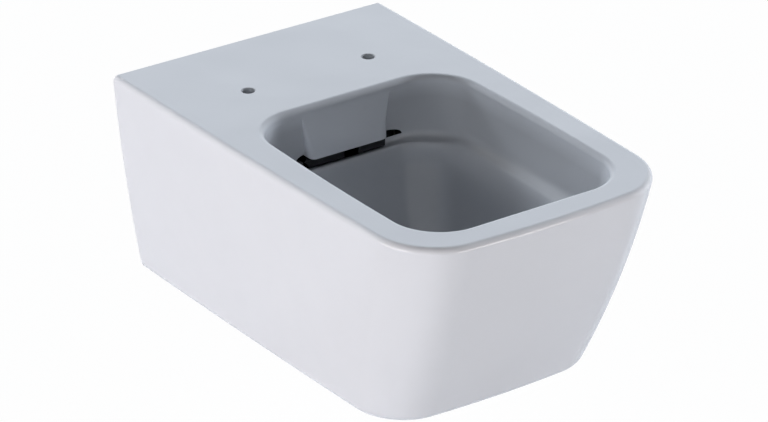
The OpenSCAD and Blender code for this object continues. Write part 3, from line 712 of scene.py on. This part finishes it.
def groove_cutter():
    """Groove in the ledge under the distributor, with a soft front lip, open to the chamber behind."""
    left, right, bottom, top = -58.2, 47.6, -16.0, 19.0
    lip_front, lip_foot, r = -188.63, 7.43, 3.4
    turn = np.linspace(0, math.pi / 2, 9)
    lip = [(lip_front + r * math.sin(t), lip_foot + r * math.cos(t)) for t in turn]
    side = [(-CUT_BACK, top), (-CUT_BACK, bottom), (lip_front + r, bottom)]
    side += [*reversed(lip), (lip_front, top)]
    # Faces of the groove take the near-black glaze: painted shade
    return cutter([np.array([[x, y, z] for y, z in side]) for x in (left, right)], 2)


deck, skirt, bowl = make_deck(), make_skirt(), make_bowl()
# Soft edge of the trap's mouth: (y, how much wider)
flare = [(-SUMP_REAR - 6, 2.0)]
flare += [(-SUMP_REAR - 0.1 + 3 * math.sin(a), 0.2 + 1.8 * (1 - math.sin(a))) for a in QUARTER[::2]]
flare += [(-SUMP_REAR + 12, 0.2)]
mouth = cutter(tube_along_y(MOUTH_HALF_W, MOUTH_HALF_H, MOUTH_Z, flare))
cut(bowl, [mouth, nose_cutter(), port_cutter(), groove_cutter()])
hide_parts("seat_deck", "rim")
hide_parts("outer_shell")
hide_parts("bowl")


def nose_row(inset, z):
    """Plan of the distributor at a height, from the left round the front to the right."""
    k = nose_taper(z)
    h, front = mix(NOSE_WIDE, NOSE_HALF, k) - inset, mix(OPEN_REAR, NOSE_FRONT, k**1.5) - inset
    r = mix(0.2, NOSE_ROUND, min(1.0, 1.3 * k))
    turn = np.linspace(0, math.pi / 2, 17)
    side = np.array([[-h, -NOSE_BACK], [-h, -NOSE_BACK - 3]])
    corner = np.stack([-h + r - r * np.cos(turn), -front + r - r * np.sin(turn)], 1)
    middle = np.stack([np.linspace(-h + r, 0, 9)[1:], np.full(8, -front)], 1)
    half = np.concatenate([side, corner, middle])
    plan = np.concatenate([half, half[-2::-1] * [-1, 1]])
    return np.column_stack([plan, np.full(len(plan), float(z))])


def make_nose():
    """Front sheet of the distributor, hollow and open below, with a rounded lip."""
    s = Skin()
    lip = 1.6
    foot = NOSE_BOTTOM + lip
    outer = [nose_row(0, z) for z in np.linspace(NOSE_TOP, foot, 24)]
    outer += [nose_row(lip * (1 - math.cos(a)), foot - lip * math.sin(a)) for a in QUARTER[1::2]]
    outer += [nose_row(DUCT_T - lip * (1 - math.sin(a)), foot - lip * math.cos(a)) for a in QUARTER[::2]]
    inner = [nose_row(DUCT_T, z) for z in np.linspace(foot, HOLLOW_TOP, 9)]
    s.grid(outer)
    # The hollow inside takes the near-black glaze: painted shade
    s.grid(inner, paint=1)
    s.flat([inner[-1]], (0, 0, -1), at_height(HOLLOW_TOP), 1)
    s.flat([outer[0]], (0, 0, 1), at_height(NOSE_TOP))
    return s.build("nose", [GLAZE, CHANNEL_SHADE_GLAZE])


def boxes(name, body_span, *hollows):
    """A casting made of boxes: the first is its body, bisque outside, and the others are taken out; their
    faces take the near-black glaze, as painted shade.
    """
    body = box_cutter(body_span)
    body.name = name
    body.data.materials.clear()
    for paint in (BISQUE, CHANNEL_SHADE_GLAZE):
        body.data.materials.append(paint)
    return cut(body, [box_cutter(span, 1) for span in hollows])


nose = make_nose()
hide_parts("flush_distributor")
chamber = boxes(
    "chamber",
    (-CHAMBER_HALF, CHAMBER_HALF, -CHAMBER_FRONT, -CHAMBER_BACK, SLOT_FLOOR - DUCT_T, CHAMBER_TOP),
    (
        -CHAMBER_HALF + DUCT_T, CHAMBER_HALF - DUCT_T,
        -CHAMBER_FRONT - 5, -CHAMBER_BACK - DUCT_T,
        SLOT_FLOOR, HOLLOW_TOP,
    ),
    (-DUCT_HALF, DUCT_HALF, -CHAMBER_BACK - 10, -CHAMBER_BACK + 10, DUCT_FLOOR, HOLLOW_TOP),
)
well = boxes("well", WELL, WELL_HOLLOW)
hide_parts("flush_distributor")
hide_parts("flush_distributor")


# Trap: a finer skin through the source's stations

# Heights of the axis at the crest and the outlet, length and inner radius of the outlet, thickness
TRAP_CREST, OUTLET_Z, OUTLET_L, OUTLET_R, TRAP_T = -28.0, -100.0, 50.0, 45.0, 7.0


def make_trap():
    start = SUMP_REAR - BOWL_T
    run = start - OUTLET_L

    def climb(k):
        return mix(MOUTH_Z, TRAP_CREST, k)

    def drop(k):
        return mix(TRAP_CREST, OUTLET_Z, k)

    # Share of the run, height, pitch in degrees, shares of the way to the outlet's height and width
    table = [
        (0, climb(0), 0, 0, 0),
        (0.065, climb(0.02), 12, 0, 0),
        (0.152, climb(0.11), 40, 0, 0.11),
        (0.223, climb(0.31), 62, 0, 0.22),
        (0.288, climb(0.6), 66, 0, 0.44),
        (0.359, climb(0.84), 50, 0, 0.67),
        (0.435, climb(0.98), 18, 0, 0.78),
        (0.511, climb(1), 0, 0, 0.89),
        (0.592, drop(0.06), -25, 0.08, 1),
        (0.679, drop(0.25), -50, 0.25, 1),
        (0.75, drop(0.55), -52, 0.5, 1),
        (0.837, drop(0.83), -32, 0.8, 1),
        (0.935, drop(0.99), -8, 1, 1),
        (1, drop(1), 0, 1, 1),
    ]
    stations = [
        [start - run * k, z, pitch, mix(MOUTH_HALF_H, OUTLET_R, h), mix(MOUTH_HALF_W, OUTLET_R, w)]
        for k, z, pitch, h, w in table
    ]
    a = np.arange(64) * 2 * math.pi / 64

    def ring(v, t):
        pitch = math.radians(v[2])
        up = (v[3] + t) * np.sin(a)
        y, z = -v[0] - math.sin(pitch) * up, v[1] + math.cos(pitch) * up
        return np.stack([(v[4] + t) * np.cos(a), y, z], 1)

    rows = smooth_table(stations, 72)
    inner, outer = [ring(v, 0) for v in rows], [ring(v, TRAP_T) for v in rows[:-1]]
    outer.append(ring(rows[-1], TRAP_T - 1))
    s = Skin()
    s.grid(outer, wrap=True, paint=1)
    s.grid(inner, wrap=True, flip=True)
    s.grid([inner[0], outer[0]], wrap=True, paint=1)
    s.grid([outer[-1], inner[-1]], wrap=True, paint=1)
    # The trap's inside takes the edge glaze, grey there as painted shade
    return s.build("trap", [EDGE_SHADE_GLAZE, BISQUE])


trap = make_trap()
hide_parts("trap_riser", "trap_crown", "trap_fall")

for piece in (deck, skirt, bowl, nose, chamber, well, trap):
    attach(piece, "pan")


# Clamp screws and nuts: threads, socket, knurl and chamfers inside the places of their nodes

ARM_FLOOR, ARM_TOP, STEEL_T, GAP = -16.0, 20.0, 4.0, 0.3
SCREW_R, PITCH, THREAD_DEPTH = 4.0, 1.25, 0.72
HEAD_R, HEAD_H, SOCKET, SOCKET_DEPTH, SOCKET_SOFT = 6.5, 6.0, 6.0, 4.0, 0.25


def lathe(s, rows, x, y, count=96, teeth=0, bite=0.0):
    """A turned panel: rows of (radius, height) from the top down. Rows with a third value are knurled."""
    a = np.arange(count) * 2 * math.pi / count
    rings = []
    for row in rows:
        r = row[0] - (bite * (0.5 + 0.5 * np.cos(teeth * a)) if len(row) > 2 else 0.0)
        rings.append(np.stack([x + r * np.cos(a), y + r * np.sin(a), np.full(count, float(row[1]))], 1))
    s.grid(rings, wrap=True)
    return rings


def hexagon(flats, x, y, z, count=6):
    """A hexagon with a corner along x, count points to a side, counter-clockwise from above."""
    corners = circle(flats / 2 / math.cos(math.pi / 6), x, y, z, 6)
    k = np.arange(count)[:, None] / count
    return np.concatenate([mix(corners[i], corners[(i + 1) % 6], k) for i in range(6)])


def disc(s, rows, x, y):
    """A closed turned body."""
    rings = lathe(s, rows, x, y)
    s.flat([rings[0]], (0, 0, 1), at_height(rows[0][1]))
    s.flat([rings[-1]], (0, 0, -1), at_height(rows[-1][1]))


def thread(s, r, depth, pitch, low, high, x, y, count=40, steps=8):
    """A right-hand thread between two heights, closed at both."""
    a = np.arange(count) * 2 * math.pi / count
    rows = []
    for z in np.linspace(high, low, int((high - low) / pitch * steps)):
        wave = np.abs((z / pitch - a / (2 * math.pi)) % 1 * 2 - 1)
        rr = r - depth * np.clip(1.25 * wave - 0.1, 0, 1)
        rows.append(np.stack([x + rr * np.cos(a), y + rr * np.sin(a), np.full(count, z)], 1))
    s.grid(rows, wrap=True)
    s.flat([rows[0]], (0, 0, 1), at_height(high))
    s.flat([rows[-1]], (0, 0, -1), at_height(low))


def make_screw(side):
    """Knurled head with a hexagon socket, threaded shank, collar over the bracket's floor, foot under it."""
    s = Skin()
    x, y = side * HINGE_X, -HINGE_Y
    collar = ARM_FLOOR + STEEL_T + GAP
    under = ARM_FLOOR - GAP
    head = ARM_TOP - HEAD_H
    thread(s, SCREW_R, THREAD_DEPTH, PITCH, collar + 1.4, head + 0.1, x, y)
    disc(s, [(6.1, collar + 1.6), (HEAD_R, collar + 1.2), (HEAD_R, collar + 0.4), (6.1, collar)], x, y)
    disc(s, [(SCREW_R, collar + 0.1), (SCREW_R, under - 0.1)], x, y)
    foot = [(6.0, under), (HEAD_R, under - 0.5), (HEAD_R, ARM_FLOOR - 2.4), (6.2, ARM_FLOOR - 2.8)]
    disc(s, foot + [(5.6, ARM_FLOOR - 3)], x, y)
    rows = [(5.7, ARM_TOP), (5.95, ARM_TOP - 0.1), (6.3, ARM_TOP - 0.55), (HEAD_R, ARM_TOP - 0.85)]
    rows += [(HEAD_R, z, 1) for z in np.linspace(ARM_TOP - 1.1, head + 0.7, 5)]
    rows += [(6.35, head + 0.3), (6.0, head)]
    rings = lathe(s, rows, x, y, count=144, teeth=36, bite=0.32)
    socket = hexagon(SOCKET, x, y, ARM_TOP)
    mouth = hexagon(SOCKET + 2 * SOCKET_SOFT, x, y, ARM_TOP)
    s.flat([rings[0], mouth], (0, 0, 1), at_height(ARM_TOP))
    s.grid([mouth, socket - [0, 0, SOCKET_SOFT]], wrap=True, flip=True)
    for i in range(6):
        edge = np.concatenate([socket, socket[:1]])[6 * i:6 * i + 7]
        s.grid([edge - [0, 0, SOCKET_SOFT], edge - [0, 0, SOCKET_DEPTH]], flip=True)
    s.flat([socket], (0, 0, 1), at_height(ARM_TOP - SOCKET_DEPTH))
    s.flat([rings[-1]], (0, 0, -1), at_height(head))
    return s.build("screw_right" if side > 0 else "screw_left", [ZINC])


STUD_X, STUD_PITCH = 90.0, 1.75


def make_nuts():
    """Two nuts on the wall studs, along y, chamfered on both faces and with the thread in their bores."""
    flats, near, far, bore = 18.96, 11.5, 21.5, 6.0
    s = Skin()
    a = np.arange(180) * 2 * math.pi / 180
    shape = flats / 2 / np.cos(a % (math.pi / 3) - math.pi / 6)
    chamfer = (0, 0.12, 0.25, 0.4, 0.6, 0.8, 1.0)
    high = far - near
    depths = [*chamfer, *np.linspace(1.5, high - 1.5, 5), *(high - t for t in reversed(chamfer))]

    def ring(r, x, t):
        return np.stack([x + r * np.cos(a), np.full(len(a), -far + t), r * np.sin(a)], 1)

    for x in (-STUD_X, STUD_X):
        rows = []
        for t in depths:
            edge = min(t, high - t)
            rows.append(ring(np.minimum(shape, 0.98 * flats / 2 + 1.75 * edge), x, t))
        s.grid(rows, wrap=True)
        soft = [(bore + 0.9, 0.0), (bore + 0.45, 0.45)]
        turns = [(None, t) for t in np.linspace(0.5, high - 0.5, 44)]
        inner = []
        for r, t in soft + turns + [(r, high - t) for r, t in reversed(soft)]:
            wave = np.abs((t / STUD_PITCH + a / (2 * math.pi)) % 1 * 2 - 1)
            inner.append(ring(bore + 0.6 * wave if r is None else np.full(len(a), r), x, t))
        s.grid(inner, wrap=True, flip=True)
        for normal, k in (((0, -1, 0), 0), ((0, 1, 0), -1)):
            y = rows[k][0][1]
            s.flat([rows[k][:, [0, 2]], inner[k][:, [0, 2]]], normal, lambda p, y=y: (p[0], y, p[1]))
    return s.build("nuts", [ZINC])


for side, body in ((-1, "left"), (1, "right")):
    screw = make_screw(side)
    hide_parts("clamp_screw_" + body)
    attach(screw, "screw_" + body)
nuts = make_nuts()
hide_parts("stud_nuts")
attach(nuts, "pan")


# Carried nodes: their own shapes with softened edges and the right finish

FINISH = {
    "flush_duct": (BISQUE, 0.8),
    "inlet_spigot": (BISQUE, 0.8),
    "outlet_spigot": (BISQUE, 0.8),
    "hanger_left": (BISQUE, 0.8),
    "hanger_right": (BISQUE, 0.8),
    "inlet_seal": (RUBBER, 0.25),
    "bracket_left": (ZINC, 0.6),
    "bracket_right": (ZINC, 0.6),
    "support_pads_left": (NYLON, 0.3),
    "support_pads_right": (NYLON, 0.3),
    "stud_bushes": (NYLON, 0.3),
    "stud_washers": (ZINC, 0.3),
    "clamp_wedge_left": (NYLON, 0.5),
    "clamp_wedge_right": (NYLON, 0.5),
}


def soften(piece, width):
    """Rounds a piece's edges with modifiers alone."""
    weld = piece.modifiers.new("weld", "WELD")
    weld.merge_threshold = 1e-6
    round_over = piece.modifiers.new("round", "BEVEL")
    round_over.width = width * MM
    round_over.segments = 3
    round_over.limit_method = "ANGLE"
    round_over.angle_limit = math.radians(40)
    shade = piece.modifiers.new("shade", "WEIGHTED_NORMAL")
    shade.keep_sharp = False


for name, (paint, width) in FINISH.items():
    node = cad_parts[name]
    node.data.materials.clear()
    node.data.materials.append(paint)
    soften(node, width)


# Stage: a plain pale floor, a white surround and soft studio light

FLOOR_HALF, FLOOR_Z, FLOOR_GLOW = 6.0, -0.32, 0.97


def make_floor():
    """A pale floor that glows where the camera sees it, and is clear from below."""
    corners = [(x * FLOOR_HALF, y * FLOOR_HALF, FLOOR_Z) for x, y in ((-1, -1), (1, -1), (1, 1), (-1, 1))]
    mesh = bpy.data.meshes.new("floor")
    mesh.from_pydata(corners, [], [(0, 1, 2, 3)])
    made = bpy.data.objects.new("floor", mesh)
    scene.collection.objects.link(made)
    s = Shader("floor")
    seen = s.add("ShaderNodeLightPath").outputs["Is Camera Ray"]
    matt = s.add("ShaderNodeBsdfDiffuse")
    matt.inputs["Color"].default_value = (0.80, 0.80, 0.81, 1)
    glow = s.add("ShaderNodeEmission")
    glow.inputs["Color"].default_value = (1, 1, 1, 1)
    share = s.add("ShaderNodeMath", operation="MULTIPLY")
    share.inputs[1].default_value = FLOOR_GLOW
    s.join(seen, share.inputs[0])
    blend = s.add("ShaderNodeMixShader")
    s.join(share.outputs[0], blend.inputs[0])
    s.join(matt.outputs[0], blend.inputs[1])
    s.join(glow.outputs[0], blend.inputs[2])
    below = s.add("ShaderNodeMixShader")
    s.join(s.add("ShaderNodeNewGeometry").outputs["Backfacing"], below.inputs[0])
    s.join(blend.outputs[0], below.inputs[1])
    s.join(s.add("ShaderNodeBsdfTransparent").outputs[0], below.inputs[2])
    out = s.add("ShaderNodeOutputMaterial")
    s.join(below.outputs[0], out.inputs["Surface"])
    mesh.materials.append(s.material)


SKY_LOW, SKY_HIGH, SKY_LEVEL = (1.0, 1.0, 1.0), (0.50, 0.56, 0.72), 0.06


def make_world():
    """White where the camera and reflections see it. The light that it gives is weak, and cooler and weaker
    towards the top."""
    world = bpy.data.worlds.new("studio")
    scene.world = world
    world.use_nodes = True
    tree = world.node_tree
    tree.nodes.clear()

    def add(kind, **settings):
        node = tree.nodes.new(kind)
        for key, value in settings.items():
            setattr(node, key, value)
        return node

    split = add("ShaderNodeSeparateXYZ")
    tree.links.new(add("ShaderNodeTexCoord").outputs["Generated"], split.inputs[0])
    rise = add("ShaderNodeValToRGB")
    tree.links.new(split.outputs["Z"], rise.inputs[0])
    for stop, colour in zip(rise.color_ramp.elements, (SKY_LOW, SKY_HIGH)):
        stop.color = (*colour, 1)
    light = add("ShaderNodeBackground")
    light.inputs["Strength"].default_value = SKY_LEVEL
    tree.links.new(rise.outputs[0], light.inputs["Color"])
    white = add("ShaderNodeBackground")
    white.inputs["Color"].default_value = (1, 1, 1, 1)
    path = add("ShaderNodeLightPath")
    seen = path.outputs["Is Camera Ray"]
    for name in ("Is Glossy Ray", "Is Transmission Ray"):
        either = add("ShaderNodeMath", operation="MAXIMUM")
        tree.links.new(seen, either.inputs[0])
        tree.links.new(path.outputs[name], either.inputs[1])
        seen = either.outputs[0]
    blend = add("ShaderNodeMixShader")
    tree.links.new(seen, blend.inputs[0])
    tree.links.new(light.outputs[0], blend.inputs[1])
    tree.links.new(white.outputs[0], blend.inputs[2])
    out = add("ShaderNodeOutputWorld")
    tree.links.new(blend.outputs[0], out.inputs["Surface"])


# Name, place, aim, size, watts, colour, whether reflections show it
LAMPS = [
    ("left_low", (-3.0, -0.15, -0.13), (0, -0.3, -0.05), (2.4, 0.34), 53, (1.0, 0.94, 0.935), True),
    ("front_low", (0.8, -3.2, -0.13), (0, -0.3, -0.05), (2.0, 0.34), 32.5, (1.0, 0.945, 0.93), True),
    ("left_high", (-4.7, 0.6, 1.75), (0, -0.3, 0.08), (1.6, 0.9), 24, (0.92, 0.95, 1.0), False),
    ("corner_high", (-3.4, -3.7, 1.36), (0, -0.3, 0.08), (1.6, 0.5), 13, (0.92, 0.95, 1.0), False),
    ("right_high", (13.4, 1.0, 6.1), (0, -0.3, 0.08), (4.0, 2.8), 1680, (0.84, 0.91, 1.0), False),
    ("rear_high", (-0.5, 13.4, 6.1), (0, -0.3, 0.08), (4.5, 2.8), 1830, (0.84, 0.91, 1.0), False),
]


def make_lamp(name, spot, aim, size, power, colour, mirrored):
    light = bpy.data.lights.new(name, "AREA")
    light.shape = "RECTANGLE"
    light.size, light.size_y = size
    light.energy = power
    light.color = colour
    lamp = bpy.data.objects.new(name, light)
    scene.collection.objects.link(lamp)
    lamp.location = spot
    lamp.rotation_euler = (Vector(aim) - Vector(spot)).to_track_quat("-Z", "Y").to_euler()
    lamp.visible_glossy = mirrored


make_floor()
make_world()
for lamp in LAMPS:
    make_lamp(*lamp)

scene.view_settings.view_transform = "Standard"
